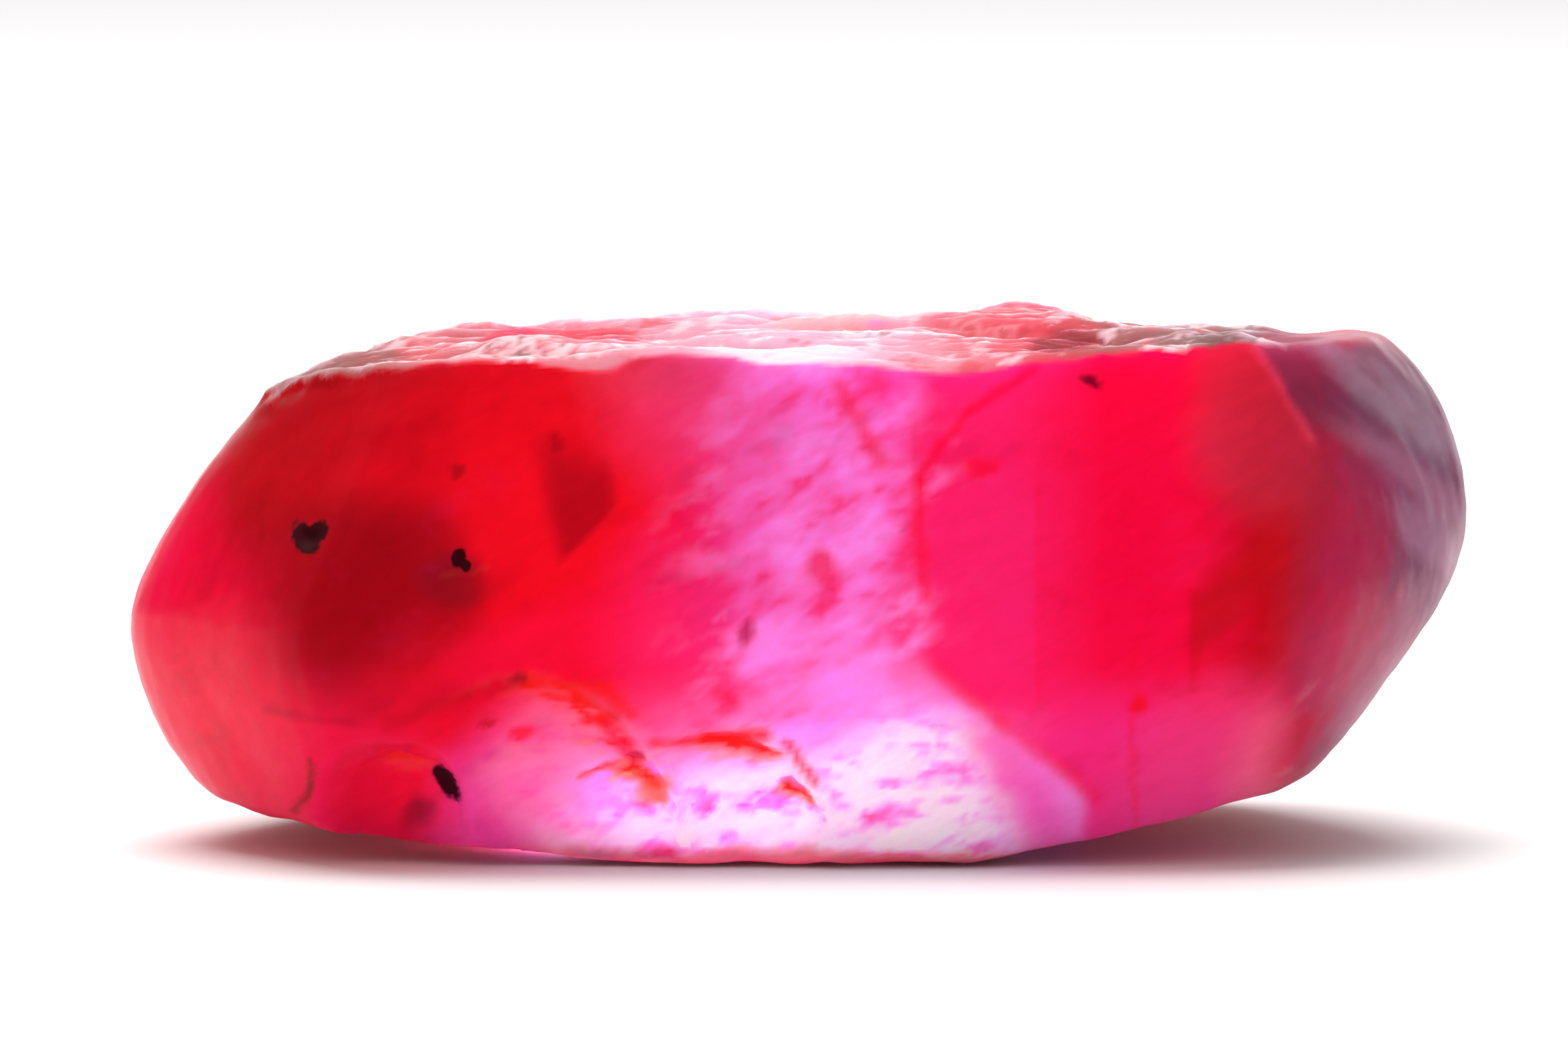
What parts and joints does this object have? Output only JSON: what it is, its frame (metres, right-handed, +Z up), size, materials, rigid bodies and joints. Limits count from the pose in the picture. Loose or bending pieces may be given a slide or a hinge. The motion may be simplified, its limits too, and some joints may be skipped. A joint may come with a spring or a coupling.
{
  "type": "raw ruby crystal",
  "caption": "Worn, barrel-shaped raw ruby crystal with broken ends, lying on its flat base; a loose display mineral.",
  "frame": {"origin": "centre of the crystal's box on the surface that it rests on", "axes": "+X along the crystal's length towards its greyed end, +Z up out of the broken top, broad worn front towards -Y"},
  "size_m": [0.034, 0.0176, 0.0133],
  "materials": {
    "ruby": "worn, translucent red corundum with pink and greyed zones"
  },
  "bodies": {
    "root": {"ruby_crystal": "ruby"}
  },
  "joints": []
}
